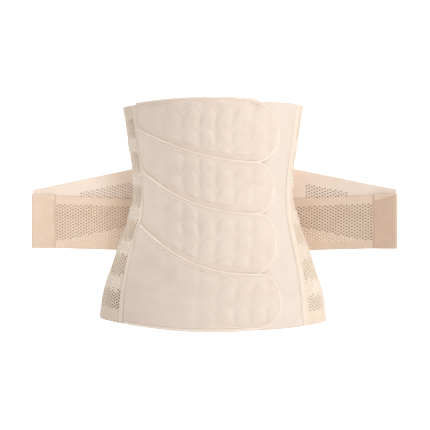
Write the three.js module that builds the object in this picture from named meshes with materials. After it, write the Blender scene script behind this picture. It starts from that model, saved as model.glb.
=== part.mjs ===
// Abdominal binder: a wrap of knit panels closed by four quilted flaps, with two pairs of elastic side straps.
// Millimetres, +Z up. The origin is the middle of the waist, the front faces -Y, and +X is the viewer's right.
import * as THREE from 'three';

// Hollow of the binder, measured inside its cloth
const WAIST_HALF_WIDTH = 103.5;
const WAIST_FRONT_DEPTH = 76;
const WAIST_BACK_DEPTH = 72;
const ABOVE_WAIST = 102.5;
const BELOW_WAIST = 184;

// Rims: how far the bottom rim rises at the sides, and how far each rim leans to one side
const BOTTOM_RIM_RISE = 8;
const BOTTOM_RIM_LEAN = -2;
const TOP_RIM_LEAN = 1.2;

// Cloth walls, and the clearances between layers and between edges
const PANEL_WALL = 2;
const FLAP_WALL = 2;
const BINDING_WALL = 2.4;
const TAPE_WALL = 0.9;
const STRAP_WALL = 1.5;
const TAB_WALL = 1.1;
const PATCH_WALL = 1.2;
const LAYER_GAP = 0.45;
const EDGE_GAP = 0.3;

// Flaps: bound edge, quilting, the margins that lie over each other, and the edges at the two rims
const BINDING_WIDTH = 4;
const PUFF_HEIGHT = 1.2;
const OVERLAP_AT_SEAM = 12;
const OVERLAP_AT_END = 2;
const LIFT_MARGIN = 4;
const LIFT_FADE = 12;
const FLAPS_ABOVE_RIM = 6;
const TOP_BOW = 4.3;
const FLAPS_BELOW_RIM = 1.8;
const BOTTOM_BOW = 8.5;

// Seams and panels
const TAPE_WIDTH = 9;
const TAPE_GAP = 1.2;
const SEAM_ALLOWANCE = 4;
const BACK_SEAM_ANGLE = 118;

// Side straps and their hook tabs
const STRAP_REACH = 243.5;
const STRAP_WIDTH = 77;
const TAB_LENGTH = 31;
const TAB_HEIGHT = 72;
const TAB_LEVEL = -48;
const TAB_LEAD = 2;
const STRAP_ROOT_GAP = 1;
const BACK_PATCH_HALF_WIDTH = 20;
const BACK_PATCH_MARGIN = 6;

// Sections of the hollow, from the bottom rim (-1) over the waist (0) to the top rim (1).
// Width and depths are shares of the waist's own, and the front seams are in degrees from the front centre.
const SECTIONS = [
  { level: -1.0, width: 1.425, front: 1.16, back: 1.5, left_seam: 49, right_seam: 50 },
  { level: -0.8, width: 1.396, front: 1.175, back: 1.45, left_seam: 49.5, right_seam: 50.5 },
  { level: -0.6, width: 1.29, front: 1.15, back: 1.33, left_seam: 51.5, right_seam: 53 },
  { level: -0.4, width: 1.168, front: 1.09, back: 1.19, left_seam: 52, right_seam: 55.5 },
  { level: -0.25, width: 1.075, front: 1.045, back: 1.09, left_seam: 52, right_seam: 58.5 },
  { level: -0.12, width: 1.018, front: 1.01, back: 1.03, left_seam: 53, right_seam: 62 },
  { level: 0.0, width: 1.0, front: 1.0, back: 1.0, left_seam: 54, right_seam: 64 },
  { level: 0.2, width: 1.014, front: 1.0, back: 1.02, left_seam: 54, right_seam: 65 },
  { level: 0.6, width: 1.073, front: 1.02, back: 1.1, left_seam: 55, right_seam: 64.5 },
  { level: 1.0, width: 1.125, front: 1.06, back: 1.2, left_seam: 55, right_seam: 65.5 },
];

// Flaps, top to bottom. Levels are those of the top edge at the left seam and at the round end, as in SECTIONS;
// reach is the round end's distance from the front centre, as a share of the waist's half width; bend is the
// power of the top edge's curve. Corners are shares of the waist's half width across and down, and row_steps is
// how many grid rows one row of puffs takes.
const FLAPS = [
  { name: 'flap_1', reach: 0.797, puff_rows: 2, row_steps: 2,
    top_corner: [0.37, 0.39], bottom_corner: [0.29, 0.31] },
  { name: 'flap_2', reach: 0.74, puff_rows: 2, row_steps: 2, seam_level: 0.7, end_level: 0.28, bend: 1.95,
    top_corner: [0.27, 0.34], bottom_corner: [0.23, 0.24] },
  { name: 'flap_3', reach: 0.757, puff_rows: 3, row_steps: 2, seam_level: 0.165, end_level: -0.198, bend: 2.35,
    top_corner: [0.25, 0.33], bottom_corner: [0.27, 0.36] },
  { name: 'flap_4', reach: 0.817, puff_rows: 2, row_steps: 4, seam_level: -0.274, end_level: -0.611, bend: 2.5,
    top_corner: [0.27, 0.37], bottom_corner: [0.27, 0.24] },
];

// Side straps: width as a share of STRAP_WIDTH, level of their middle at the end as in SECTIONS, and rise for
// each millimetre outwards
const STRAPS = [
  { name: 'level_strap', layer: 0, width: 0.922, end_level: -0.2582, rise: 0.04 },
  { name: 'slanted_strap', layer: 1, width: 1, end_level: -0.2418, rise: -0.22 },
];

// The two sides: direction of X, and how far behind the waist's middle the straps end, as a share of the waist's
// back depth
const SIDES = [
  { name: 'left', direction: -1, end_depth: 0.389 },
  { name: 'right', direction: 1, end_depth: 0.028 },
];

// Grid steps
const PANEL_ROWS = 20;
const PANEL_STEP = 13;
const CORNER_STEPS = 5;
const FLAP_STEPS = 14;
const STRAP_ROWS = 8;
const WRAP_STEPS = 7;
const WRAP_SHARE = 0.65;
const FREE_STEPS = 4;
const PATCH_STEPS = 4;

// Colours
const PANEL_COLOR = '#f3e5d8';
const KNIT_COLOR = '#eee0d0';
const FLAP_COLOR = '#ecd9cb';
const BINDING_COLOR = '#f4e2d6';
const TAPE_COLOR = '#f2e0cf';
const STRAP_COLOR = '#e6cfbc';
const TAB_COLOR = '#ddbfa5';

const radians = THREE.MathUtils.degToRad;
const lerp = THREE.MathUtils.lerp;
const clamp = THREE.MathUtils.clamp;

// Value of one column of a table at a place between its rows, on a smooth curve through them
function follow(rows, key, column, at) {
  let index = 0;
  while (index < rows.length - 2 && at > rows[index + 1][key]) index += 1;
  const slopeAt = (row) => {
    const before = rows[Math.max(row - 1, 0)];
    const after = rows[Math.min(row + 1, rows.length - 1)];
    return (after[column] - before[column]) / (after[key] - before[key]);
  };
  const low = rows[index];
  const high = rows[index + 1];
  const span = high[key] - low[key];
  const t = clamp((at - low[key]) / span, 0, 1);
  const eased = t * t * (3 - 2 * t);
  return lerp(low[column], high[column], eased)
    + t * (1 - t) * (1 - t) * span * slopeAt(index)
    - t * t * (1 - t) * span * slopeAt(index + 1);
}

function levelOf(z) {
  return z > 0 ? z / ABOVE_WAIST : z / BELOW_WAIST;
}

function heightOf(level) {
  return level > 0 ? level * ABOVE_WAIST : level * BELOW_WAIST;
}

function halfWidth(z) {
  return WAIST_HALF_WIDTH * follow(SECTIONS, 'level', 'width', levelOf(z));
}

function depth(z, isFront) {
  if (isFront) return WAIST_FRONT_DEPTH * follow(SECTIONS, 'level', 'front', levelOf(z));
  return WAIST_BACK_DEPTH * follow(SECTIONS, 'level', 'back', levelOf(z));
}

// Point at an angle from the front centre, on the hollow's wall or standing off from it
function bodyPoint(angle, z, standOff) {
  const across = halfWidth(z);
  const away = depth(z, Math.cos(angle) > 0);
  const normal = new THREE.Vector2(Math.sin(angle) / across, -Math.cos(angle) / away).normalize();
  return new THREE.Vector3(
    across * Math.sin(angle) + standOff * normal.x,
    -away * Math.cos(angle) + standOff * normal.y,
    z,
  );
}

// Angle that lies a distance further round the hollow
function turned(angle, z, distance) {
  const across = halfWidth(z);
  const away = depth(z, Math.cos(angle) > 0);
  return angle + distance / Math.hypot(across * Math.cos(angle), away * Math.sin(angle));
}

function seamAngle(side, z) {
  const angle = radians(follow(SECTIONS, 'level', `${side.name}_seam`, levelOf(z)));
  return side.direction * angle;
}

function topRim(angle) {
  return ABOVE_WAIST + TOP_RIM_LEAN * Math.sin(angle);
}

function bottomRim(angle) {
  return -BELOW_WAIST + BOTTOM_RIM_RISE * Math.sin(angle) ** 2 + BOTTOM_RIM_LEAN * Math.sin(angle);
}

// Signed volume of a closed mesh, to tell whether its faces point out
function signedVolume(positions, faces) {
  const corner = (index) => new THREE.Vector3().fromArray(positions, 3 * index);
  let volume = 0;
  for (let face = 0; face < faces.length; face += 3) {
    const [a, b, c] = [0, 1, 2].map((step) => corner(faces[face + step]));
    volume += a.dot(b.cross(c)) / 6;
  }
  return volume;
}

// Closed sheet of cloth. place(column, row, side) gives its points, inner face 0 and outer face 1
function clothSheet(columns, rows, place) {
  const positions = [];
  const faces = [];
  const at = (column, row, side) => side + 2 * (row + (rows + 1) * column);
  for (let column = 0; column <= columns; column += 1) {
    for (let row = 0; row <= rows; row += 1) {
      positions.push(...place(column, row, 0).toArray(), ...place(column, row, 1).toArray());
    }
  }
  const quad = (a, b, c, d) => faces.push(a, b, c, a, c, d);
  for (let column = 0; column < columns; column += 1) {
    for (let row = 0; row < rows; row += 1) {
      quad(at(column, row, 1), at(column + 1, row, 1), at(column + 1, row + 1, 1), at(column, row + 1, 1));
      quad(at(column, row, 0), at(column, row + 1, 0), at(column + 1, row + 1, 0), at(column + 1, row, 0));
    }
    quad(at(column, 0, 0), at(column + 1, 0, 0), at(column + 1, 0, 1), at(column, 0, 1));
    quad(at(column + 1, rows, 0), at(column, rows, 0), at(column, rows, 1), at(column + 1, rows, 1));
  }
  for (let row = 0; row < rows; row += 1) {
    quad(at(0, row + 1, 0), at(0, row, 0), at(0, row, 1), at(0, row + 1, 1));
    quad(at(columns, row, 0), at(columns, row + 1, 0), at(columns, row + 1, 1), at(columns, row, 1));
  }
  if (signedVolume(positions, faces) < 0) faces.reverse();
  const geometry = new THREE.BufferGeometry();
  geometry.setAttribute('position', new THREE.Float32BufferAttribute(positions, 3));
  geometry.setIndex(faces);
  geometry.computeVertexNormals();
  return geometry;
}

// Panel of one wall from rim to rim, between two edges given as angles at each height
function panel(startAngle, endAngle) {
  const width = WAIST_HALF_WIDTH * Math.abs(endAngle(0) - startAngle(0));
  const columns = Math.ceil(width / PANEL_STEP);
  return clothSheet(columns, PANEL_ROWS, (column, row, side) => {
    const share = row / PANEL_ROWS;
    const height = lerp(-BELOW_WAIST, ABOVE_WAIST, share);
    const angle = lerp(startAngle(height), endAngle(height), column / columns);
    const z = lerp(bottomRim(angle), topRim(angle), share);
    return bodyPoint(angle, z, side * PANEL_WALL);
  });
}

const [LEFT, RIGHT] = SIDES;
const backSeam = radians(BACK_SEAM_ANGLE);

function backPanel() {
  const start = (z) => turned(backSeam, z, EDGE_GAP);
  const end = (z) => 2 * Math.PI + turned(-backSeam, z, -EDGE_GAP);
  return panel(start, end);
}

function leftSidePanel() {
  return panel(() => -backSeam, (z) => turned(seamAngle(LEFT, z), z, SEAM_ALLOWANCE));
}

function rightSidePanel() {
  return panel((z) => seamAngle(RIGHT, z), () => backSeam);
}

function frontPanel() {
  const start = (z) => turned(seamAngle(LEFT, z), z, SEAM_ALLOWANCE + EDGE_GAP);
  const end = (z) => turned(seamAngle(RIGHT, z), z, -EDGE_GAP);
  return panel(start, end);
}

// Strip of tape over a front seam, on the side panel's edge
function seamTape(side) {
  const standOff = PANEL_WALL + LAYER_GAP;
  return clothSheet(2, PANEL_ROWS, (column, row, face) => {
    const share = row / PANEL_ROWS;
    const height = lerp(-BELOW_WAIST, ABOVE_WAIST, share);
    const away = TAPE_GAP + TAPE_WIDTH * (column / 2);
    const angle = turned(seamAngle(side, height), height, side.direction * away);
    const z = lerp(bottomRim(angle), topRim(angle), share);
    return bodyPoint(angle, z, standOff + face * TAPE_WALL);
  });
}

// Flaps. Their outlines are set in the front view, as heights z at places x across the front.
function seamX(z) {
  return halfWidth(z) * Math.sin(seamAngle(LEFT, z));
}

function flapEnd(flap) {
  return flap.reach * WAIST_HALF_WIDTH;
}

// Height of a flap's top edge, without its round corner
function topEdge(index, x) {
  const flap = FLAPS[index];
  if (index === 0) {
    const top = ABOVE_WAIST + FLAPS_ABOVE_RIM;
    return top - TOP_BOW * (x / seamX(ABOVE_WAIST)) ** 2;
  }
  const seamHeight = heightOf(flap.seam_level);
  const endHeight = heightOf(flap.end_level);
  const start = seamX(seamHeight);
  const cornerStart = flapEnd(flap) - flap.top_corner[0] * WAIST_HALF_WIDTH;
  const t = Math.min((x - start) / (cornerStart - start), 1);
  return endHeight + (seamHeight - endHeight) * (1 - t) ** flap.bend;
}

// How far a flap reaches under the next one
function overlap(x) {
  const share = clamp((x - seamX(0)) / (flapEnd(FLAPS[1]) - seamX(0)), 0, 1);
  return lerp(OVERLAP_AT_SEAM, OVERLAP_AT_END, share);
}

// Height of a flap's bottom edge, without its round corner
function bottomEdge(index, x) {
  if (index < FLAPS.length - 1) return topEdge(index + 1, x) - overlap(x);
  return -BELOW_WAIST - FLAPS_BELOW_RIM + BOTTOM_BOW * (x / seamX(-BELOW_WAIST)) ** 2;
}

// How much a round corner takes off the height of a flap at x, with the outline moved in by an inset
function cornerCut(flap, corner, x, inset) {
  const across = corner[0] * WAIST_HALF_WIDTH;
  const down = corner[1] * WAIST_HALF_WIDTH;
  const start = flapEnd(flap) - across;
  const share = clamp((x - start) / (across - inset), 0, 1);
  return (down - inset) * (1 - Math.sqrt(1 - share * share));
}

// Distance along z that moves a sloping edge in by an inset
function slopedInset(edge, x, inset) {
  const slope = (edge(x + 1) - edge(x - 1)) / 2;
  return inset * Math.hypot(1, slope);
}

function topOutline(index, x, inset) {
  const edge = (place) => topEdge(index, place);
  return edge(x) - slopedInset(edge, x, inset) - cornerCut(FLAPS[index], FLAPS[index].top_corner, x, inset);
}

function bottomOutline(index, x, inset) {
  const edge = (place) => bottomEdge(index, place);
  return edge(x) + slopedInset(edge, x, inset) + cornerCut(FLAPS[index], FLAPS[index].bottom_corner, x, inset);
}

// Share of the way from the seam to the round end for each column, closer together round the corner
function columnShare(flap, column) {
  const cornerShare = (flap.top_corner[0] * WAIST_HALF_WIDTH) / (flapEnd(flap) - seamX(0));
  if (column <= FLAP_STEPS) return (1 - cornerShare) * (column / FLAP_STEPS);
  const turn = ((column - FLAP_STEPS) / CORNER_STEPS) * (Math.PI / 2);
  return 1 - cornerShare * (1 - Math.sin(turn));
}

// Height at which an edge of a flap meets the left seam
function seamHeight(index, outline, inset) {
  let z = outline(index, seamX(0), inset);
  for (let step = 0; step < 8; step += 1) z = outline(index, seamX(z), inset);
  return z;
}

// Point in the front view on a flap's top (edge 1) or bottom (edge 0) outline
function outlinePoint(index, column, edge, inset) {
  const flap = FLAPS[index];
  const outline = edge === 1 ? topOutline : bottomOutline;
  const start = seamX(seamHeight(index, outline, inset));
  const x = lerp(start, flapEnd(flap) - inset, columnShare(flap, column));
  return new THREE.Vector2(x, outline(index, x, inset));
}

// Point in the front view at a share of the way up one of a flap's columns, the first of which is on the seam
function columnPoint(index, column, share, inset) {
  const bottom = outlinePoint(index, column, 0, inset);
  const top = outlinePoint(index, column, 1, inset);
  const seamBottom = outlinePoint(index, 0, 0, inset);
  const seamTop = outlinePoint(index, 0, 1, inset);
  const straight = lerp(seamBottom.x, seamTop.x, share);
  const bow = seamX(lerp(seamBottom.y, seamTop.y, share)) - straight;
  const x = lerp(bottom.x, top.x, share) + bow * (1 - columnShare(FLAPS[index], column));
  return new THREE.Vector2(x, lerp(bottom.y, top.y, share));
}

// Share of the way up a column at which it crosses an edge
function crossing(index, column, inset, edge) {
  const height = columnPoint(index, column, 1, inset).y - columnPoint(index, column, 0, inset).y;
  let share = 0.5;
  for (let step = 0; step < 12; step += 1) {
    const point = columnPoint(index, column, share, inset);
    share += (edge(point.x) - point.y) / height;
  }
  return share;
}

// Grid rows of a flap: those of its puffs, and one margin at the bottom and at the top
function flapRows(index) {
  return FLAPS[index].puff_rows * FLAPS[index].row_steps + 2;
}

// Shares of a column's height for each row: the bound edges, the margins under the next flap and over the last
// one, and the puffs between them
function rowShares(index, column, inset) {
  const height = columnPoint(index, column, 1, inset).y - columnPoint(index, column, 0, inset).y;
  const margin = BINDING_WIDTH / height;
  let low = margin;
  let high = 1 - margin;
  if (index < FLAPS.length - 1) {
    const cover = crossing(index, column, inset, (x) => topEdge(index + 1, x) + LIFT_MARGIN);
    low = clamp(cover, margin, 0.5 - margin);
  }
  if (index > 0) {
    const upper = (x) => bottomOutline(index - 1, Math.min(x, flapEnd(FLAPS[index - 1])), 0);
    const rest = crossing(index, column, inset, (x) => upper(x) - LIFT_MARGIN);
    high = clamp(rest, 0.5 + margin, 1 - margin);
  }
  const cells = flapRows(index) - 2;
  const inner = Array.from({ length: cells + 1 }, (_, cell) => lerp(low, high, cell / cells));
  return [0, ...inner, 1];
}

function flapPlace(index, column, row, inset) {
  return columnPoint(index, column, rowShares(index, column, inset)[row], inset);
}

// How far a flap is lifted where it lies over the one above it
function lift(index, place) {
  if (index === 0) return 0;
  const reach = Math.min(place.x, flapEnd(FLAPS[index - 1]));
  const above = place.y - bottomOutline(index - 1, reach, 0);
  const share = clamp((above + LIFT_MARGIN + LIFT_FADE) / LIFT_FADE, 0, 1);
  return (BINDING_WALL + LAYER_GAP) * share;
}

function flapPoint(index, place, standOff) {
  const angle = Math.asin(clamp(place.x / halfWidth(place.y), -1, 1));
  return bodyPoint(angle, place.y, PANEL_WALL + LAYER_GAP + lift(index, place) + standOff);
}

// Height of the quilting: crests in the middle of each cell, flat at the left seam and in the margins
function puff(index, column, row) {
  if (row === 0 || row === flapRows(index)) return 0;
  const across = Math.sin(Math.PI * (column / 2)) ** 2;
  const up = Math.sin(Math.PI * ((row - 1) / FLAPS[index].row_steps)) ** 2;
  const fade = clamp(column / FLAP_STEPS, 0, 1);
  return PUFF_HEIGHT * across * up * fade;
}

const FLAP_COLUMNS = FLAP_STEPS + CORNER_STEPS;

function flapBody(index) {
  const inset = BINDING_WIDTH + EDGE_GAP;
  return clothSheet(FLAP_COLUMNS, flapRows(index), (column, row, side) => {
    const place = flapPlace(index, column, row, inset);
    return flapPoint(index, place, side * (FLAP_WALL + puff(index, column, row)));
  });
}

// Narrow binding along a flap's top edge, round its end and back along its bottom edge
function flapBinding(index) {
  const rows = flapRows(index);
  const steps = 2 * FLAP_COLUMNS + rows;
  const alongEdge = (step, inset) => {
    if (step <= FLAP_COLUMNS) return flapPlace(index, step, rows, inset);
    if (step < FLAP_COLUMNS + rows) return flapPlace(index, FLAP_COLUMNS, FLAP_COLUMNS + rows - step, inset);
    return flapPlace(index, steps - step, 0, inset);
  };
  return clothSheet(steps, 1, (step, edge, side) => {
    const place = alongEdge(step, edge === 1 ? 0 : BINDING_WIDTH);
    return flapPoint(index, place, side * BINDING_WALL);
  });
}

// Side straps. Each runs round the back from its root, leaves it straight and ends inside the hook tab.
function strapStandOff(layer) {
  return PANEL_WALL + LAYER_GAP + layer * (STRAP_WALL + LAYER_GAP);
}

// Angle from the front centre at which a straight line to a point touches the back
function leavingAngle(target, z, standOff) {
  let low = Math.PI / 2;
  let high = Math.PI;
  for (let step = 0; step < 40; step += 1) {
    const middle = (low + high) / 2;
    const point = bodyPoint(middle, z, standOff);
    const along = bodyPoint(middle - 0.001, z, standOff).sub(point);
    const turn = along.x * (target.y - point.y) - along.y * (target.x - point.x);
    if (turn > 0) low = middle;
    else high = middle;
  }
  return (low + high) / 2;
}

// Plan of the hook tab on one side, worked out at +X: its end, and the direction of the straps in it
function tabPlan(side) {
  const end = new THREE.Vector2(STRAP_REACH, side.end_depth * WAIST_BACK_DEPTH);
  const angle = leavingAngle(end, TAB_LEVEL, strapStandOff(0));
  const root = bodyPoint(angle, TAB_LEVEL, strapStandOff(0));
  const along = new THREE.Vector2(end.x - root.x, end.y - root.y).normalize();
  const outward = new THREE.Vector2(-along.y, along.x);
  return { end, along, outward };
}

function planPoint(plan, back, out) {
  return plan.end.clone().addScaledVector(plan.along, -back).addScaledVector(plan.outward, out);
}

function mirrored(point, side) {
  point.x *= side.direction;
  return point;
}

// Point on the surface that the straps of a side share, at a distance x from the back's centre
function beltPoint(plan, x, z, out) {
  const standOff = strapStandOff(0) + out;
  const mouth = planPoint(plan, TAB_LENGTH + TAB_LEAD, out);
  const leaving = leavingAngle(mouth, z, standOff);
  const start = bodyPoint(leaving, z, standOff);
  if (x > mouth.x) {
    const point = planPoint(plan, (plan.end.x - x) / plan.along.x, out);
    return new THREE.Vector3(point.x, point.y, z);
  }
  if (x > start.x) {
    const share = (x - start.x) / (mouth.x - start.x);
    return start.lerp(new THREE.Vector3(mouth.x, mouth.y, z), share);
  }
  const sine = (x / start.x) * Math.sin(leaving);
  return bodyPoint(Math.PI - Math.asin(sine), z, standOff);
}

// Height of the middle of a strap at a distance x from the back's centre
function strapMiddle(strap, x) {
  return heightOf(strap.end_level) + strap.rise * (x - STRAP_REACH);
}

function strapBody(strap, side) {
  const plan = tabPlan(side);
  const wrapEnd = WRAP_SHARE * WAIST_HALF_WIDTH;
  const mouthX = STRAP_REACH - TAB_LENGTH - TAB_LEAD;
  const tipX = STRAP_REACH - TAB_WALL - EDGE_GAP;
  const wrapped = Array.from({ length: WRAP_STEPS }, (_, step) => (
    lerp(STRAP_ROOT_GAP / 2, wrapEnd, step / WRAP_STEPS)));
  const free = Array.from({ length: FREE_STEPS + 1 }, (_, step) => lerp(wrapEnd, mouthX, step / FREE_STEPS));
  const places = [...wrapped, ...free, tipX];
  return clothSheet(places.length - 1, STRAP_ROWS, (column, row, face) => {
    const x = places[column];
    const z = strapMiddle(strap, x) + strap.width * STRAP_WIDTH * (row / STRAP_ROWS - 0.5);
    const out = strap.layer * (STRAP_WALL + LAYER_GAP) + face * STRAP_WALL;
    return mirrored(beltPoint(plan, x, z, out), side);
  });
}

// Hook tab folded round the ends of both straps, open where they enter
function hookTab(side) {
  const plan = tabPlan(side);
  const inside = 2 * STRAP_WALL + LAYER_GAP + EDGE_GAP;
  const corners = [
    [TAB_LENGTH, -EDGE_GAP - TAB_WALL], [0, -EDGE_GAP - TAB_WALL], [0, inside + TAB_WALL],
    [TAB_LENGTH, inside + TAB_WALL], [TAB_LENGTH, inside], [TAB_WALL, inside],
    [TAB_WALL, -EDGE_GAP], [TAB_LENGTH, -EDGE_GAP],
  ];
  const outline = corners.map(([back, out]) => mirrored(planPoint(plan, back, out), side));
  if (side.direction < 0) outline.reverse();
  const shape = new THREE.Shape(outline);
  const geometry = new THREE.ExtrudeGeometry(shape, { depth: TAB_HEIGHT, bevelEnabled: false });
  return geometry.translate(0, 0, TAB_LEVEL - TAB_HEIGHT / 2);
}

// Plain patch over the sewn roots of the four straps
function backPatch() {
  const [level, slanted] = STRAPS;
  const low = strapMiddle(level, 0) - (level.width * STRAP_WIDTH) / 2 - BACK_PATCH_MARGIN;
  const high = strapMiddle(slanted, 0) + (slanted.width * STRAP_WIDTH) / 2 + BACK_PATCH_MARGIN;
  const spread = BACK_PATCH_HALF_WIDTH / WAIST_HALF_WIDTH;
  const standOff = strapStandOff(STRAPS.length);
  const rows = 2 * PATCH_STEPS;
  return clothSheet(PATCH_STEPS, rows, (column, row, side) => {
    const angle = Math.PI + lerp(-spread, spread, column / PATCH_STEPS);
    return bodyPoint(angle, lerp(low, high, row / rows), standOff + side * PATCH_WALL);
  });
}

function piece(name, geometry, color, roughness) {
  const material = new THREE.MeshStandardMaterial({ color, roughness, metalness: 0 });
  const mesh = new THREE.Mesh(geometry, material);
  mesh.name = name;
  return mesh;
}

const binder = new THREE.Group();
binder.name = 'abdominal_binder';
binder.add(piece('back_panel', backPanel(), PANEL_COLOR, 0.9));
binder.add(piece('front_panel', frontPanel(), PANEL_COLOR, 0.9));
binder.add(piece('side_panel_left', leftSidePanel(), KNIT_COLOR, 0.9));
binder.add(piece('side_panel_right', rightSidePanel(), KNIT_COLOR, 0.9));
FLAPS.forEach((flap, index) => {
  binder.add(piece(flap.name, flapBody(index), FLAP_COLOR, 0.85));
  binder.add(piece(`${flap.name}_binding`, flapBinding(index), BINDING_COLOR, 0.8));
});
for (const side of SIDES) {
  binder.add(piece(`${side.name}_seam_tape`, seamTape(side), TAPE_COLOR, 0.85));
  for (const strap of STRAPS) {
    binder.add(piece(`${strap.name}_${side.name}`, strapBody(strap, side), STRAP_COLOR, 0.85));
  }
  binder.add(piece(`hook_tab_${side.name}`, hookTab(side), TAB_COLOR, 0.9));
}
binder.add(piece('back_patch', backPatch(), PANEL_COLOR, 0.9));

export default binder;
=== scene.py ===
import math

import bpy
import numpy as np
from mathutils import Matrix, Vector


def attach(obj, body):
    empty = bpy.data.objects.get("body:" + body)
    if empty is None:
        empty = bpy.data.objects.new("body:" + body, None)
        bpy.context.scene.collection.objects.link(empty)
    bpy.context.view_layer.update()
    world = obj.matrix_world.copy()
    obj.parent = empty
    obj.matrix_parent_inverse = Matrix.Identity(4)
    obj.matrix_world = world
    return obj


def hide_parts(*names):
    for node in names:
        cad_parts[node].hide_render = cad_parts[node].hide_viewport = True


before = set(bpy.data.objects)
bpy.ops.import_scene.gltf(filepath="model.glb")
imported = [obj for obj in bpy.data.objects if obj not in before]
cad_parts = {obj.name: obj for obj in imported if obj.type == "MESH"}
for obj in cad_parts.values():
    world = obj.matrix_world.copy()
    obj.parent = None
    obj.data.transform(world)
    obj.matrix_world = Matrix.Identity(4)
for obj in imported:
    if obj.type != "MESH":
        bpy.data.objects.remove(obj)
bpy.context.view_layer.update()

# Sizes are in millimetres up to the mesh builders, which make metres of them
MM = 0.001

# Hollow of the binder, measured inside its cloth
WAIST_HALF_WIDTH = 103.5
WAIST_FRONT_DEPTH = 76
WAIST_BACK_DEPTH = 72
ABOVE_WAIST = 102.5
BELOW_WAIST = 184
BOTTOM_RIM_RISE = 8
BOTTOM_RIM_LEAN = -2
TOP_RIM_LEAN = 1.2
HEIGHT = ABOVE_WAIST + BELOW_WAIST

# Cloth walls and clearances
PANEL_WALL = 2.0
FLAP_WALL = 2.0
BINDING_WALL = 2.4
TAPE_WALL = 0.9
STRAP_WALL = 1.5
TAB_WALL = 1.1
PATCH_WALL = 1.2
LAYER_GAP = 0.45
EDGE_GAP = 0.3

# Flaps: STRAIGHT_SHARE of the mesh's columns lie before the round end, and the rest closer together in it
BINDING_WIDTH = 4
OVERLAP_AT_SEAM = 12
OVERLAP_AT_END = 2
LIFT_MARGIN = 4
LIFT_FADE = 34
FLAPS_ABOVE_RIM = 6
TOP_BOW = 4.3
FLAPS_BELOW_RIM = 1.8
BOTTOM_BOW = 8.5
FLAP_COLUMNS = 190
STRAIGHT_SHARE = 0.68

# Bindings, and the raised stitching beside them. The profile pairs shares of the width with heights
BINDING_PROFILE = (
    (0, 1.2), (0.08, 2.2), (0.2, 2.7), (0.34, 2.8), (0.5, 2.6),
    (0.66, 2.1), (0.8, 1.7), (0.92, 1.5), (1, 1.3),
)
BINDING_STEPS = (170, 14, 170)
STITCHING_INSET = 1.4
STITCHING_LIFT = 0.2
STITCHING_RADIUS = 0.75

# Seams and their tapes
TAPE_WIDTH = 9
TAPE_GAP = 1.2
TAPE_EDGE = 1.6
TAPE_LIFT = 0.2
TAPE_RIDGE = 1.5
TAPE_STITCHING_RADIUS = 0.5
SEAM_ALLOWANCE = 4
SEAM_RIBS = 0.3
BACK_SEAM_ANGLE = 118

# Straps, tabs and back patch
STRAP_REACH = 243.5
STRAP_WIDTH = 77
STRAP_RIB = 4
STRAP_ROOT_GAP = 1
TAB_LENGTH = 31
TAB_HEIGHT = 72
TAB_LEVEL = -48
TAB_LEAD = 2
TAB_FOLD = 9
TAB_STITCHING = 2.2
BACK_PATCH_HALF_WIDTH = 20
BACK_PATCH_MARGIN = 6
PATCH_STITCHING = 3

# Hems along both rims, and how deep a line of stitching sinks
HEM = 9
HEM_RELIEF = 0.45
HEM_STEP = 1.2
SUNK_LINE = 0.35

# Side panels: patches of net between solid zigzag bands, which hold raised zigzag threads, painted paler than
# the bands as highlights for their satin glints
BAND_PITCH = 45.8
BAND_SHARE = 0.42
BAND_RIDGE = 6
ZIGZAG_WIDTH = 11
ZIGZAG_RISE = 3.2
THREAD_STEP = 5.4
THREAD_RADIUS = 0.95
THREAD_DEPTH = 0.5
SIDE_BORDER = 9
NET_MARGIN = 16

# Quilting: cells across and up, how high they puff, and where a groove between columns runs
PUFF_WIDTH = 21.2
PUFF_HEIGHT = 1.5
PUFF_ARCH = 0.06
GROOVE_X = 67.5
GROOVE_WIDTH = 3.8
DIMPLE_WIDTH = 5
PUFF_MARGIN = 5

# Shares of a puff's height: its flat part, its crown, and what grooves and dimples take away
PUFF_FLAT = 0.6
PUFF_CROWN = 0.4
COLUMN_GROOVE = 0.32
ROW_GROOVE = 0.36
DIMPLE = 0.35

# Where the puffs start to rise from the seam, over what stretch, and the least share of their height
PUFF_FADE = (-62, 60, 0.5)
LOWEST_PUFF_FADE = (-30, 70, 0.3)

# Net of the knit: pitch of the staggered holes, and the holes' half sizes
NET_ACROSS = 7.0
NET_UP = 4.0
STRAP_HOLE = (1.15, 0.65)
BARE_HOLE = 0.48
PANEL_HOLE = (1.6, 0.95)
SMALLEST_HOLE = 0.2
# Thickness of the thin layers of painted shade and light behind the nets, and what is left for the net's own
# wall
SHADE_LAYER_WALL = 0.3
NET_WALL = STRAP_WALL - 0.1 - SHADE_LAYER_WALL

# Size of the soft blotches in every cloth's colour
BLOTCH = 18

# Camera, set at the photo's distance: millimetres for a photo pixel at the middle of the body
PIXEL = 1.32
IMAGE_SIZE = 430
CAMERA_DISTANCE = 1600
MIDDLE_PIXEL = (213, 185)

# Stage: a floor under the part, and a backdrop that bends up behind it
FLOOR_LEVEL = -650
FLOOR_FRONT = -3000
BACKDROP_DEPTH = 2200
BACKDROP_BEND = 900
BACKDROP_TOP = 4000
STAGE_HALF_WIDTH = 5000

# Light
KEY_TINT = (1, 0.992, 0.98)
FILL_TINT = (1, 0.985, 0.96)
SPOT_TINT = (1, 0.99, 0.98)
WORLD_LIGHT = 0.42

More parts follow.
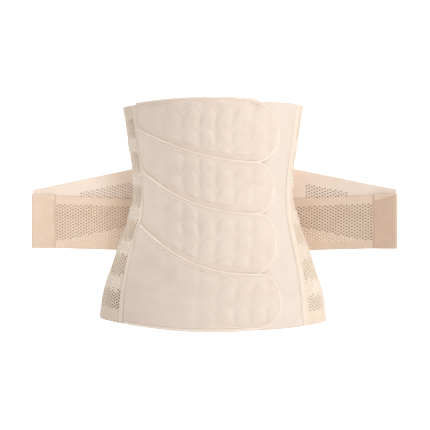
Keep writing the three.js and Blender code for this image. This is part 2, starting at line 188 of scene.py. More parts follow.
# Sections of the hollow: shares of the waist's width and depths, and the front seams in degrees
SECTION_COLUMNS = ("level", "width", "front", "back", "left_seam", "right_seam")
SECTIONS = (
    (-1.0, 1.425, 1.16, 1.5, 49, 50),
    (-0.8, 1.396, 1.175, 1.45, 49.5, 50.5),
    (-0.6, 1.29, 1.15, 1.33, 51.5, 53),
    (-0.4, 1.168, 1.09, 1.19, 52, 55.5),
    (-0.25, 1.075, 1.045, 1.09, 52, 58.5),
    (-0.12, 1.018, 1.01, 1.03, 53, 62),
    (0.0, 1.0, 1.0, 1.0, 54, 64),
    (0.2, 1.014, 1.0, 1.02, 54, 65),
    (0.6, 1.073, 1.02, 1.1, 55, 64.5),
    (1.0, 1.125, 1.06, 1.2, 55, 65.5),
)

# Flaps, top to bottom. Reach and corners are shares of the waist's half width. The top edge falls from one
# level at the seam to another at the round end, and bend is how sharply. groove is the height of a groove
# between two rows of puffs, and puff_rise a row's height. rows counts the mesh's rows
FLAPS = (
    {"name": "flap_1", "reach": 0.797, "rows": 72,
     "top_corner": (0.37, 0.39), "bottom_corner": (0.29, 0.31), "groove": 74.5, "puff_rise": 24.5},
    {"name": "flap_2", "reach": 0.74, "rows": 72, "seam_level": 0.7, "end_level": 0.28, "bend": 1.95,
     "top_corner": (0.27, 0.34), "bottom_corner": (0.23, 0.24), "groove": -2, "puff_rise": 25.5},
    {"name": "flap_3", "reach": 0.757, "rows": 72, "seam_level": 0.165, "end_level": -0.198, "bend": 2.35,
     "top_corner": (0.25, 0.33), "bottom_corner": (0.27, 0.36), "groove": -62.5, "puff_rise": 24.6},
    {"name": "flap_4", "reach": 0.817, "rows": 100, "seam_level": -0.274, "end_level": -0.611, "bend": 2.5,
     "top_corner": (0.27, 0.37), "bottom_corner": (0.27, 0.24), "groove": -150, "puff_rise": 26},
)

# Side straps: width, plain borders and plain stretch before the tab as shares of STRAP_WIDTH, level of their
# middle at the end, and rise for each millimetre outwards
STRAPS = (
    {"name": "level_strap", "layer": 0, "width": 0.922, "end_level": -0.2582, "rise": 0.04,
     "top_border": 0.15, "bottom_border": 0.15, "plain_end": 0},
    {"name": "slanted_strap", "layer": 1, "width": 1, "end_level": -0.2418, "rise": -0.22,
     "top_border": 0.22, "bottom_border": 0.16, "plain_end": 0.4},
)

# The two sides. Straps: how far back they end, as a share of the back's depth, and the start of the slanted
# one's net, as a share of its reach. Seam: how far the tape laps forwards and the panel reaches under the
# flaps. Side panel: middle height of its lowest patch of net, and its holes' size as a share of PANEL_HOLE
SIDES = (
    {"name": "left", "direction": -1, "end_depth": 0.389, "net_start": 0,
     "tape_lap": 0.8, "allowance": SEAM_ALLOWANCE, "net_middle": 28.3, "hole_share": 1},
    {"name": "right", "direction": 1, "end_depth": 0.028, "net_start": 0.51,
     "tape_lap": 1.8, "allowance": 0, "net_middle": 24, "hole_share": 0.82},
)
LEFT, RIGHT = SIDES

SECTION_TABLE = np.array(SECTIONS, float)
BACK_SEAM = math.radians(BACK_SEAM_ANGLE)


def lerp(low, high, share):
    return low + (high - low) * share


def smooth(share):
    """Smooth step from 0 to 1."""
    share = np.clip(share, 0, 1)
    return share * share * (3 - 2 * share)


def ridge(distance, width):
    """1 on a line, falling softly to 0 within about two widths of it."""
    return np.exp(-(distance / width) ** 2)


def distance_along(line):
    """Distance of each point of a line from its start."""
    steps = np.linalg.norm(np.diff(line, axis=0), axis=1)
    return np.concatenate([[0], np.cumsum(steps)])


def edge_distance(s, t, width, height):
    """Distance from the nearest edge of a cloth of width by height."""
    return np.minimum(np.minimum(t, height - t), np.minimum(s, width - s))


def follow(column, level):
    """Value of a column of the sections at a level, on a smooth curve through the rows."""
    key = SECTION_TABLE[:, 0]
    value = SECTION_TABLE[:, SECTION_COLUMNS.index(column)]
    last = len(key) - 1
    before = np.maximum(np.arange(len(key)) - 1, 0)
    after = np.minimum(np.arange(len(key)) + 1, last)
    slope = (value[after] - value[before]) / (key[after] - key[before])
    level = np.asarray(level, float)
    row = np.clip(np.searchsorted(key, level, side="left") - 1, 0, last - 1)
    span = key[row + 1] - key[row]
    t = np.clip((level - key[row]) / span, 0, 1)
    eased = t * t * (3 - 2 * t)
    bend = t * (1 - t) * span
    return lerp(value[row], value[row + 1], eased) + bend * ((1 - t) * slope[row] - t * slope[row + 1])


def level_of(z):
    z = np.asarray(z, float)
    return np.where(z > 0, z / ABOVE_WAIST, z / BELOW_WAIST)


def height_of(level):
    return level * (ABOVE_WAIST if level > 0 else BELOW_WAIST)


def half_width(z):
    return WAIST_HALF_WIDTH * follow("width", level_of(z))


def depth(z, angle):
    front = WAIST_FRONT_DEPTH * follow("front", level_of(z))
    back = WAIST_BACK_DEPTH * follow("back", level_of(z))
    return np.where(np.cos(angle) > 0, front, back)


def body_point(angle, z, stand_off):
    """Points at an angle from the front centre, standing off from the hollow's wall."""
    across = half_width(z)
    away = depth(z, angle)
    nx = np.sin(angle) / across
    ny = -np.cos(angle) / away
    size = np.hypot(nx, ny)
    x = across * np.sin(angle) + stand_off * nx / size
    y = -away * np.cos(angle) + stand_off * ny / size
    return np.stack(np.broadcast_arrays(x, y, z), axis=-1)


def turned(angle, z, distance):
    """Angle that lies a distance further round the hollow."""
    return angle + distance / np.hypot(half_width(z) * np.cos(angle), depth(z, angle) * np.sin(angle))


def seam_angle(side, z):
    return side["direction"] * np.radians(follow(side["name"] + "_seam", level_of(z)))


def top_rim(angle):
    return ABOVE_WAIST + TOP_RIM_LEAN * np.sin(angle)


def bottom_rim(angle):
    return -BELOW_WAIST + BOTTOM_RIM_RISE * np.sin(angle) ** 2 + BOTTOM_RIM_LEAN * np.sin(angle)


# Flap outlines, as heights z at places x across the front view
def seam_x(z):
    return half_width(z) * np.sin(seam_angle(LEFT, z))


def is_lowest(index):
    return index == len(FLAPS) - 1


def flap_end(index):
    return FLAPS[index]["reach"] * WAIST_HALF_WIDTH


def top_edge(index, x):
    flap = FLAPS[index]
    if index == 0:
        return ABOVE_WAIST + FLAPS_ABOVE_RIM - TOP_BOW * (x / seam_x(ABOVE_WAIST)) ** 2
    seam_height = height_of(flap["seam_level"])
    end_height = height_of(flap["end_level"])
    start = seam_x(seam_height)
    corner_start = flap_end(index) - flap["top_corner"][0] * WAIST_HALF_WIDTH
    t = np.minimum((x - start) / (corner_start - start), 1)
    return end_height + (seam_height - end_height) * np.power(1 - t, flap["bend"])


def overlap(x):
    share = np.clip((x - seam_x(0)) / (flap_end(1) - seam_x(0)), 0, 1)
    return lerp(OVERLAP_AT_SEAM, OVERLAP_AT_END, share)


def bottom_edge(index, x):
    if is_lowest(index):
        return -BELOW_WAIST - FLAPS_BELOW_RIM + BOTTOM_BOW * (x / seam_x(-BELOW_WAIST)) ** 2
    return top_edge(index + 1, x) - overlap(x)


def corner_cut(index, corner, x, inset):
    across, down = (share * WAIST_HALF_WIDTH for share in FLAPS[index][corner])
    share = np.clip((x - flap_end(index) + across) / (across - inset), 0, 1)
    return (down - inset) * (1 - np.sqrt(1 - share * share))


def sloped_inset(edge, index, x, inset):
    slope = (edge(index, x + 1) - edge(index, x - 1)) / 2
    return inset * np.hypot(1, slope)


def top_outline(index, x, inset):
    fall = corner_cut(index, "top_corner", x, inset)
    return top_edge(index, x) - sloped_inset(top_edge, index, x, inset) - fall


def bottom_outline(index, x, inset):
    rise = corner_cut(index, "bottom_corner", x, inset)
    return bottom_edge(index, x) + sloped_inset(bottom_edge, index, x, inset) + rise


def seam_end(index, outline, inset):
    """Place on the left seam where an edge of a flap meets it."""
    z = outline(index, seam_x(0), inset)
    for _ in range(12):
        z = outline(index, seam_x(z), inset)
    return np.array([seam_x(z), z])


def column_share(index, u):
    """Share of the way from the seam to the round end, with closer steps in the round end."""
    corner = FLAPS[index]["top_corner"][0] * WAIST_HALF_WIDTH / (flap_end(index) - seam_x(0))
    straight = (1 - corner) * u / STRAIGHT_SHARE
    turn = np.clip((u - STRAIGHT_SHARE) / (1 - STRAIGHT_SHARE), 0, 1) * math.pi / 2
    bent = 1 - corner * (1 - np.sin(turn))
    return np.where(u < STRAIGHT_SHARE, straight, bent)


def flap_place(index, u, v, inset):
    """Place (x, z) on a flap: u from the seam to the round end, v from the bottom edge to the top edge."""
    share = column_share(index, u)
    seam_bottom = seam_end(index, bottom_outline, inset)
    seam_top = seam_end(index, top_outline, inset)
    end = flap_end(index) - inset
    bottom_x = lerp(seam_bottom[0], end, share)
    top_x = lerp(seam_top[0], end, share)
    z = lerp(bottom_outline(index, bottom_x, inset), top_outline(index, top_x, inset), v)
    bow = seam_x(lerp(seam_bottom[1], seam_top[1], v)) - lerp(seam_bottom[0], seam_top[0], v)
    return lerp(bottom_x, top_x, v) + bow * (1 - share), z


def lift(index, x, z):
    """How far a flap is lifted where it lies over the one above it."""
    if index == 0:
        return np.zeros_like(x)
    above = z - bottom_outline(index - 1, np.minimum(x, flap_end(index - 1)), 0)
    return (BINDING_WALL + LAYER_GAP) * smooth((above + LIFT_MARGIN + LIFT_FADE) / LIFT_FADE)


def flap_point(index, x, z, stand_off):
    angle = np.arcsin(np.clip(x / half_width(z), -1, 1))
    return body_point(angle, z, PANEL_WALL + LAYER_GAP + lift(index, x, z) + stand_off)


# Straps and tabs, worked out at +X and mirrored for the left
def layer_out(layer):
    """How far outside the innermost strap a layer lies."""
    return layer * (STRAP_WALL + LAYER_GAP)


def strap_stand_off(layer):
    return PANEL_WALL + LAYER_GAP + layer_out(layer)


def strap_width(strap):
    return strap["width"] * STRAP_WIDTH


def leaving_angle(target, z, stand_off):
    """Angle from the front centre at which a straight line to a target in plan touches the back."""
    shape = np.broadcast(np.asarray(z), np.asarray(stand_off)).shape
    low = np.full(shape, math.pi / 2)
    high = np.full(shape, math.pi)
    for _ in range(30):
        middle = (low + high) / 2
        point = body_point(middle, z, stand_off)
        along = body_point(middle - 0.001, z, stand_off) - point
        turn = along[..., 0] * (target[1] - point[..., 1]) - along[..., 1] * (target[0] - point[..., 0])
        low = np.where(turn > 0, middle, low)
        high = np.where(turn > 0, high, middle)
    return (low + high) / 2


def tab_plan(side):
    """Plan of a side's hook tab: its end, the straps' direction in it, and their outer side."""
    end = np.array([STRAP_REACH, side["end_depth"] * WAIST_BACK_DEPTH], float)
    stand_off = strap_stand_off(0)
    root = body_point(leaving_angle(end, TAB_LEVEL, stand_off), TAB_LEVEL, stand_off)
    along = (end - root[:2]) / np.linalg.norm(end - root[:2])
    return end, along, np.array([-along[1], along[0]])


def plan_point(plan, back, out):
    end, along, outward = plan
    back = np.asarray(back, float)[..., None]
    out = np.asarray(out, float)[..., None]
    return end - along * back + outward * out


def belt_point(side, x, z, out):
    """Points on the surface that the straps of a side share, at a distance x from the back's centre."""
    plan = tab_plan(side)
    x, z, out = np.broadcast_arrays(np.asarray(x, float), np.asarray(z, float), np.asarray(out, float))
    stand_off = strap_stand_off(0) + out
    mouth = plan_point(plan, TAB_LENGTH + TAB_LEAD, out)
    target = (mouth[..., 0], mouth[..., 1])
    leaving = leaving_angle(target, z, stand_off)
    start = body_point(leaving, z, stand_off)
    share = (x - start[..., 0]) / (mouth[..., 0] - start[..., 0])
    free = lerp(start[..., 1], mouth[..., 1], share)
    end = plan_point(plan, (plan[0][0] - x) / plan[1][0], out)
    sine = np.clip(x / start[..., 0] * np.sin(leaving), 0, 1)
    wrapped = body_point(math.pi - np.arcsin(sine), z, stand_off)
    on_body = x <= start[..., 0]
    in_tab = x > mouth[..., 0]
    out_x = np.where(on_body, wrapped[..., 0], np.where(in_tab, end[..., 0], x))
    out_y = np.where(on_body, wrapped[..., 1], np.where(in_tab, end[..., 1], free))
    return np.stack([out_x * side["direction"], out_y, z], axis=-1)


# Mesh builders
def read_all(items, field, count, kind=float):
    values = np.zeros(count, kind)
    items.foreach_get(field, values)
    return values


def make_object(name, points, faces, flat_places=None):
    """Mesh object from points in millimetres, with a map of places on the cloth in metres."""
    mesh = bpy.data.meshes.new(name)
    mesh.from_pydata((np.asarray(points) * MM).tolist(), [], faces)
    if flat_places is not None:
        layer = mesh.uv_layers.new(name="cloth")
        corners = read_all(mesh.loops, "vertex_index", len(mesh.loops), int)
        layer.uv.foreach_set("vector", (np.asarray(flat_places) * MM)[corners].astype(np.float32).ravel())
    mesh.validate()
    mesh.shade_smooth()
    obj = bpy.data.objects.new(name + "_cloth", mesh)
    bpy.context.scene.collection.objects.link(obj)
    return obj


def rim_edges(faces):
    """Directed edges that only one face uses, in that face's direction."""
    seen = {}
    for face in faces:
        for start, end in zip(face, face[1:] + face[:1]):
            seen[(start, end)] = seen.get((start, end), 0) + 1
    return [edge for edge in seen if (edge[1], edge[0]) not in seen]


def unit(vectors):
    return vectors / np.maximum(np.linalg.norm(vectors, axis=1, keepdims=True), 1e-9)


def pushed_rim(inner, outer, starts, ends, push):
    """Points halfway up the wall of a sheet's rim, one at the start of each of its edges, pushed outwards."""
    normal = unit(np.cross(outer[ends] - outer[starts], outer[starts] - inner[starts]))
    away = np.zeros(outer.shape)
    away[starts] += normal
    away[ends] += normal
    return (inner[starts] + outer[starts]) / 2 + unit(away[starts]) * push


def closed_sheet(name, places, faces, surface, round_rim=0.0):
    """Closed sheet over flat places. surface(s, t, face) gives its points, with face 0 inside and 1 outside.

    round_rim pushes the middle of the rim's wall outwards, so that the edge of the cloth is round."""
    inner = surface(places[:, 0], places[:, 1], 0)
    outer = surface(places[:, 0], places[:, 1], 1)
    count = len(places)
    closed = [tuple(face) for face in faces]
    closed += [tuple(index + count for index in reversed(face)) for face in faces]
    points = [outer, inner]
    flat = [places, places]
    rim = rim_edges([list(face) for face in faces])
    if round_rim:
        starts, ends = np.array(rim).T
        number = {start: 2 * count + step for step, (start, end) in enumerate(rim)}
        points.append(pushed_rim(inner, outer, starts, ends, round_rim))
        flat.append(places[starts])
        for start, end in rim:
            closed.append((end, start, number[start], number[end]))
            closed.append((number[end], number[start], start + count, end + count))
    else:
        closed += [(end, start, start + count, end + count) for start, end in rim]
    obj = make_object(name, np.concatenate(points), closed, np.concatenate(flat))
    obj.data["outer_faces"] = len(faces)
    turn_out(obj)
    return obj


def second_material(obj, material, chosen):
    """Gives a closed sheet's faces that chosen(s, t, face) picks a second material."""
    mesh = obj.data
    mesh.materials.append(material)
    count = len(mesh.polygons)
    places = read_all(mesh.uv_layers["cloth"].uv, "vector", 2 * len(mesh.loops))
    start = read_all(mesh.polygons, "loop_start", count, int)
    total = read_all(mesh.polygons, "loop_total", count, int)
    middle = np.add.reduceat(places.reshape(-1, 2), start, axis=0) / total[:, None] / MM
    face = (np.arange(count) < mesh["outer_faces"]).astype(int)
    picked = chosen(middle[:, 0], middle[:, 1], face)
    mesh.polygons.foreach_set("material_index", picked.astype(np.int32))


def turn_out(obj):
    """Turns the faces of a closed mesh outwards."""
    mesh = obj.data
    mesh.calc_loop_triangles()
    corners = read_all(mesh.loop_triangles, "vertices", 3 * len(mesh.loop_triangles), int)
    points = read_all(mesh.vertices, "co", 3 * len(mesh.vertices))
    a, b, c = points.reshape(-1, 3)[corners].reshape(-1, 3, 3).transpose(1, 0, 2)
    if np.einsum("ij,ij->i", a, np.cross(b, c)).sum() < 0:
        mesh.flip_normals()


def grid(columns, rows):
    """Shares (u, v) of a grid's points, and its faces."""
    u, v = np.meshgrid(columns, rows, indexing="ij")
    places = np.stack([u.ravel(), v.ravel()], axis=1)
    high = len(rows)
    faces = [
        (i * high + j, (i + 1) * high + j, (i + 1) * high + j + 1, i * high + j + 1)
        for i in range(len(columns) - 1)
        for j in range(high - 1)
    ]
    return places, faces


def edged(count, border):
    """Even shares from 0 to 1 with one narrow step at each end."""
    return np.concatenate([[0], np.linspace(border, 1 - border, count), [1]])


def net(width, height, is_open, hole):
    """Places and faces of a staggered net over a cloth of width by height.

    is_open(s, t) gives a hole's size from 0, closed, to 1, fully open, and hole an open one's half sizes."""
    corner = np.array([[1, 0], [0.5, 1], [-0.5, 1], [-1, 0], [-0.5, -1], [0.5, -1]])
    corner = corner * (NET_ACROSS / 3, NET_UP / 2)
    ring = np.stack([corner, (corner + np.roll(corner, -1, axis=0)) / 2], axis=1).reshape(-1, 2)
    sides = len(ring)
    turn = np.radians(360 / sides * np.arange(sides))
    opening = np.stack([np.cos(turn), np.sin(turn)], axis=1)
    numbers = {}
    places = []
    faces = []

    def number(place):
        place = (min(max(place[0], 0), width), min(max(place[1], 0), height))
        key = (round(place[0] * 200), round(place[1] * 200))
        if key not in numbers:
            numbers[key] = len(places)
            places.append(place)
        return numbers[key]

    def add(face):
        clean = [index for index, after in zip(face, face[1:] + face[:1]) if index != after]
        spread = np.ptp([places[index] for index in clean], axis=0) if len(clean) > 2 else (0, 0)
        if min(spread) > 0.01:
            faces.append(tuple(clean))

    rows = int(height / (NET_UP / 2)) + 2
    columns = int(width / NET_ACROSS) + 2
    for row in range(rows):
        for column in range(columns):
            middle = np.array([(column + 0.5 * (row % 2)) * NET_ACROSS, row * NET_UP / 2])
            outline = [number(place) for place in middle + ring]
            size = float(is_open(middle[0], middle[1]))
            if size < SMALLEST_HOLE:
                add(outline)
                continue
            inside = [number(place) for place in middle + opening * hole * size]
            for step in range(sides):
                after = (step + 1) % sides
                add([outline[step], outline[after], inside[after], inside[step]])
    return np.array(places), faces


# Materials
def new_material(name, slot):
    material = bpy.data.materials.new(name)
    material.use_nodes = True
    material["slot"] = slot
    return material, material.node_tree.nodes, material.node_tree.links


def color(hex_code):
    """Linear colour of an sRGB hex code."""
    values = [int(hex_code[start:start + 2], 16) / 255 for start in (0, 2, 4)]
    return tuple(v / 12.92 if v <= 0.04045 else ((v + 0.055) / 1.055) ** 2.4 for v in values) + (1,)


def set_inputs(node, values):
    for name, value in values.items():
        node.inputs[name].default_value = value


def weave_height(nodes, links, place, rib):
    """Height of the weave, as waves across times waves up."""
    weave = nodes.new("ShaderNodeMath")
    weave.operation = "MULTIPLY"
    for factor, axis, pitch in zip(weave.inputs, "XY", rib):
        wave = nodes.new("ShaderNodeTexWave")
        wave.bands_direction = axis
        set_inputs(wave, {"Scale": 0.314 / (pitch * MM), "Distortion": 1.2, "Detail": 2, "Detail Scale": 0.6})
        links.new(place, wave.inputs["Vector"])
        links.new(wave.outputs["Fac"], factor)
    return weave.outputs[0]


def two_tones(nodes, links, place, weave, light, dark):
    """Colour between two tones, in soft blotches and in the weave."""
    noise = nodes.new("ShaderNodeTexNoise")
    set_inputs(noise, {"Scale": 1 / (BLOTCH * MM), "Detail": 4})
    links.new(place, noise.inputs["Vector"])
    tone = nodes.new("ShaderNodeMath")
    tone.operation = "MULTIPLY_ADD"
    tone.inputs[1].default_value = 0.35
    links.new(weave, tone.inputs[0])
    links.new(noise.outputs["Fac"], tone.inputs[2])
    ramp = nodes.new("ShaderNodeMapRange")
    set_inputs(ramp, {"From Min": 0.3, "From Max": 0.95})
    links.new(tone.outputs[0], ramp.inputs["Value"])
    mix = nodes.new("ShaderNodeMix")
    mix.data_type = "RGBA"
    set_inputs(mix, {"A": color(dark), "B": color(light)})
    links.new(ramp.outputs["Result"], mix.inputs["Factor"])
    return mix.outputs["Result"]


def cloth_material(name, slot, light, dark, rib=(0.9, 0.9), bump=0.25, roughness=0.88, sheen=0.25):
    """Knit or woven cloth in two tones. rib is the pitch of its weave across and up, in millimetres."""
    material, nodes, links = new_material(name, slot)
    shader = nodes["Principled BSDF"]
    set_inputs(shader, {"Roughness": roughness, "Specular IOR Level": 0.25})
    set_inputs(shader, {"Sheen Weight": sheen, "Sheen Roughness": 0.5})
    uv_map = nodes.new("ShaderNodeUVMap")
    uv_map.uv_map = "cloth"
    place = uv_map.outputs["UV"]
    weave = weave_height(nodes, links, place, rib)
    links.new(two_tones(nodes, links, place, weave, light, dark), shader.inputs["Base Color"])
    relief = nodes.new("ShaderNodeBump")
    set_inputs(relief, {"Strength": bump, "Distance": 0.3 * MM})
    links.new(weave, relief.inputs["Height"])
    links.new(relief.outputs["Normal"], shader.inputs["Normal"])
    return material


def finish_piece(obj, material, *nodes):
    """Gives a piece its material and its body, and the CAD nodes that it stands for."""
    obj.data.materials.append(material)
    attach(obj, "root")
    if nodes:
        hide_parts(*nodes)
    return obj


def ripple(x, z, size):
    """Slight unevenness of stretched cloth, in shares of its height."""
    first = np.sin(x / size + 1.7 * np.sin(z / (1.9 * size)))
    second = np.sin(z / (0.8 * size) + 1.3 * np.sin(x / (1.4 * size)) + 2.1)
    return 0.5 * first + 0.5 * second * np.sin((x + z) / (2.7 * size))


# Panels
def panel_map(start_angle, end_angle, width, height):
    """Function from flat places on a panel of width by height to their angle and height on the body."""
    def place(s, t):
        level = lerp(-BELOW_WAIST, ABOVE_WAIST, t / height)
        angle = lerp(start_angle(level), end_angle(level), s / width)
        return angle, lerp(bottom_rim(angle), top_rim(angle), t / height)
    return place


def hem_relief(t, height):
    """Folded hem along both rims: a little thicker, with a sunk stitching line at its edge."""
    near = np.minimum(height - t, t)
    fold = 1 - smooth((near - HEM) / HEM_STEP)
    return HEM_RELIEF * fold - SUNK_LINE * ridge(near - HEM + HEM_STEP, HEM_STEP / 2)


def smooth_panel(name, start_angle, end_angle, columns, rows, material, rib_height):
    """Plain panel with hems, and with ribs of parallel stitching beside its right edge."""
    width = WAIST_HALF_WIDTH * float(end_angle(0) - start_angle(0))
    place = panel_map(start_angle, end_angle, width, HEIGHT)
    shares, faces = grid(edged(columns, 0.8 / width), edged(rows, 0.8 / HEIGHT))

    def surface(s, t, face):
        angle, z = place(s, t)
        ribs = rib_height * ridge(width - s, 9) * np.cos(2 * math.pi * (width - s) / 3.1)
        relief = hem_relief(t, HEIGHT) + 0.25 * ripple(s, t, 17) + ribs
        return body_point(angle, z, face * (PANEL_WALL + np.clip(relief, -0.6, 1.2)))

    obj = closed_sheet(name, shares * (width, HEIGHT), faces, surface, 0.7)
    return finish_piece(obj, material, name), width


# Side panels: patches of net between solid zigzag bands
def zigzag(s):
    """Height of the zigzag bands over their middle line, as a triangle wave."""
    return ZIGZAG_RISE * (2 * np.abs(2 * ((s / ZIGZAG_WIDTH) % 1) - 1) - 1)


def band_distance(side, s, t):
    """How far inside a solid band a place lies, in millimetres: positive in a band, negative in the net."""
    share = ((t + zigzag(s) - side["net_middle"]) / BAND_PITCH) % 1
    return (BAND_SHARE / 2 - np.abs(share - 0.5)) * BAND_PITCH


def side_shape(side):
    """A side panel's place function, width and height."""
    direction = side["direction"]

    def seam(z):
        return turned(seam_angle(side, z), z, -direction * side["allowance"])

    def back_edge(z):
        return direction * BACK_SEAM + 0 * np.asarray(z, float)

    width = NET_ACROSS * round(WAIST_HALF_WIDTH * (BACK_SEAM - abs(float(seam(0)))) / NET_ACROSS)
    height = NET_UP / 2 * round(HEIGHT / (NET_UP / 2))
    return panel_map(seam, back_edge, width, height), width, height


def side_panel(side, material, band_material):
    """Perforated jacquard side panel, its net in one cloth and its solid bands in another."""
    name = "side_panel_" + side["name"]
    place, width, height = side_shape(side)

    def is_open(s, t):
        inside = min(s - side["allowance"] - TAPE_WIDTH, width - s - SIDE_BORDER)
        inside = min(inside, height - t - NET_MARGIN, t - NET_MARGIN)
        size = min(1, 0.4 - band_distance(side, s, t) / 2)
        return size if inside > 0 and size > 0 else 0

    def surface(s, t, face):
        angle, z = place(s, t)
        band = smooth(band_distance(side, s, t) / 1.5 + 0.5)
        waves = np.cos(2 * math.pi * (t + zigzag(s)) / BAND_RIDGE)
        relief = hem_relief(t, height) + 0.25 * ripple(s, t, 13) + band * (0.1 + 0.4 * waves)
        outer = PANEL_WALL - 0.4 + np.clip(relief, -0.5, 1.2)
        return body_point(angle, z, lerp(SHADE_LAYER_WALL + 0.1, outer, face))

    def in_band(s, t, face):
        return (band_distance(side, s, t) > 0) & (np.minimum(t, height - t) > 2 * HEM)

    places, faces = net(width, height, is_open, side["hole_share"] * np.array(PANEL_HOLE))
    panel = finish_piece(closed_sheet(name, places, faces, surface), material, name)
    second_material(panel, band_material, in_band)
    return panel


def side_hole_shading_sheet(side, material, inner_material):
    """Thin sheet behind a side panel's net. Towards the holes it has painted shade on the left side and
    painted light on the right, standing for the hollow seen through them; inside it has the net's cloth.
    """
    place, width, height = side_shape(side)
    shares, faces = grid(edged(24, 0.01), edged(60, 0.005))

    def surface(s, t, face):
        angle, z = place(s, t)
        return body_point(angle, z, face * SHADE_LAYER_WALL)

    hole_shading_sheet = closed_sheet("side_panel_" + side["name"] + "_hole_shading_sheet", shares * (width, height), faces, surface)
    finish_piece(hole_shading_sheet, material)
    second_material(hole_shading_sheet, inner_material, lambda s, t, face: face == 0)
    return hole_shading_sheet


# Raised threads: thin closed tubes along a surface
def tube(line, radius, sides=5):
    """Points and faces of a closed tube along a line of points."""
    along = unit(np.gradient(line, axis=0))
    first = unit(np.cross(along, np.array([0.3, 0.1, 0.95])))
    second = np.cross(along, first)
    turn = 2 * math.pi * np.arange(sides) / sides
    ring = first[:, None] * np.cos(turn)[None, :, None] + second[:, None] * np.sin(turn)[None, :, None]
    points = (line[:, None] + radius * ring).reshape(-1, 3)
    faces = [
        (i * sides + j, i * sides + (j + 1) % sides, (i + 1) * sides + (j + 1) % sides, (i + 1) * sides + j)
        for i in range(len(line) - 1)
        for j in range(sides)
    ]
    last = (len(line) - 1) * sides
    return points, faces + [tuple(range(sides))[::-1], tuple(last + j for j in range(sides))]


def threads(name, lines, radius, material):
    """One piece with a tube along each line."""
    points = []
    faces = []
    count = 0
    for line in lines:
        more, sides = tube(line, radius)
        faces += [tuple(index + count for index in face) for face in sides]
        points.append(more)
        count += len(more)
    places = np.concatenate(points)
    return finish_piece(make_object(name, places, faces, places[:, [0, 2]]), material)


def zigzag_threads(side, material):
    """Raised zigzag threads in the solid bands of a side panel, three to a band, in a paler cloth that is a
    painted highlight for the bands' glints.
    """
    place, width, height = side_shape(side)
    s = np.arange(SIDE_BORDER + TAPE_WIDTH, width - SIDE_BORDER, ZIGZAG_WIDTH / 4)
    lines = []
    for band in range(-1, int(height / BAND_PITCH) + 2):
        middle = side["net_middle"] + (band + 0.5) * BAND_PITCH
        for step in (-1, 0, 1):
            t = middle + step * THREAD_STEP - zigzag(s)
            if t.min() >= 2 * HEM and t.max() <= height - 2 * HEM:
                angle, z = place(s, t)
                lines.append(body_point(angle, z, PANEL_WALL - THREAD_DEPTH))
    return threads("zigzag_" + side["name"], lines, THREAD_RADIUS, material)


# Flaps
def crest(cells):
    """1 in the middle of each cell and 0 on the grooves between them."""
    return np.cos(math.pi * (cells - np.floor(cells) - 0.5))


def faded(x, fade):
    """Share of the puffs' height at a place x."""
    start, stretch, least = fade
    return least + (1 - least) * smooth((x - start) / stretch)


def quilting(index, x, z):
    """Height of the puffs, from 0 in the dimples and margins to 1 on the crests."""
    flap = FLAPS[index]
    sway = 1.2 * np.sin(z / 9) + 1.2 * np.sin(x / 13 + index)
    across = (x + sway - GROOVE_X - 0.05 * (z - flap["groove"])) / PUFF_WIDTH
    up = (z + 0.8 * sway - flap["groove"] - 0.1 * (x - GROOVE_X)) / flap["puff_rise"]
    up = up + PUFF_ARCH * np.cos(2 * math.pi * across)
    from_column = np.abs(across - np.round(across)) * PUFF_WIDTH
    from_row = np.abs(up - np.round(up)) * flap["puff_rise"]
    cell = PUFF_FLAT + PUFF_CROWN * crest(across) * crest(up)
    cell = cell - COLUMN_GROOVE * ridge(from_column, GROOVE_WIDTH)
    cell = cell - ROW_GROOVE * ridge(from_row, GROOVE_WIDTH)
    cell = cell - DIMPLE * ridge(np.hypot(from_column, from_row), DIMPLE_WIDTH)
    strength = faded(x, PUFF_FADE)
    below = z - bottom_outline(index, x, BINDING_WIDTH)
    above = top_outline(index, x, BINDING_WIDTH) - z
    if is_lowest(index):
        strength = strength * faded(x, LOWEST_PUFF_FADE)
    else:
        below = np.minimum(below, z - top_edge(index + 1, x) - LIFT_MARGIN)
    end = flap_end(index) - BINDING_WIDTH - x
    inside = np.minimum(np.minimum(below, above), end)
    return np.clip(cell, 0, 1) * strength * smooth(inside / PUFF_MARGIN)


def flap_body(index, material):
    """Quilted flap inside its binding."""
    name = FLAPS[index]["name"]
    shares, faces = grid(edged(FLAP_COLUMNS, 0.003), edged(FLAPS[index]["rows"], 0.006))
    places = np.stack(flap_place(index, shares[:, 0], shares[:, 1], BINDING_WIDTH + EDGE_GAP), axis=1)

    def surface(s, t, face):
        puff = PUFF_HEIGHT * quilting(index, s, t) + 0.18 * ripple(s, t, 9)
        return flap_point(index, s, t, face * (FLAP_WALL + puff))

    return finish_piece(closed_sheet(name, places, faces, surface, 0.5), material, name)


def binding_path(index, inset):
    """Places along a flap's top edge, round its end and back along its bottom edge."""
    top, side, bottom = BINDING_STEPS
    u = np.concatenate([np.linspace(0, 1, top), np.ones(side), np.linspace(1, 0, bottom)])
    v = np.concatenate([np.ones(top), np.linspace(1, 0, side + 2)[1:-1], np.zeros(bottom)])
    return np.stack(flap_place(index, u, v, inset), axis=1)


def flap_binding(index, material):
    """Narrow folded binding with a raised roll near its outer edge."""
    name = FLAPS[index]["name"] + "_binding"
    outer_line = binding_path(index, 0)
    inner_line = binding_path(index, BINDING_WIDTH)
    distance = distance_along(outer_line)
    across, height = np.array(BINDING_PROFILE).T
    shares, faces = grid(np.arange(len(distance)), np.arange(len(across)))
    column, row = shares.astype(int).T
    places = np.stack([distance[column], BINDING_WIDTH * across[row]], axis=1)
    line = lerp(outer_line[column], inner_line[column], across[row][:, None])

    def surface(s, t, face):
        return flap_point(index, line[:, 0], line[:, 1], face * height[row])

    return finish_piece(closed_sheet(name, places, faces, surface, 0.35), material, name)


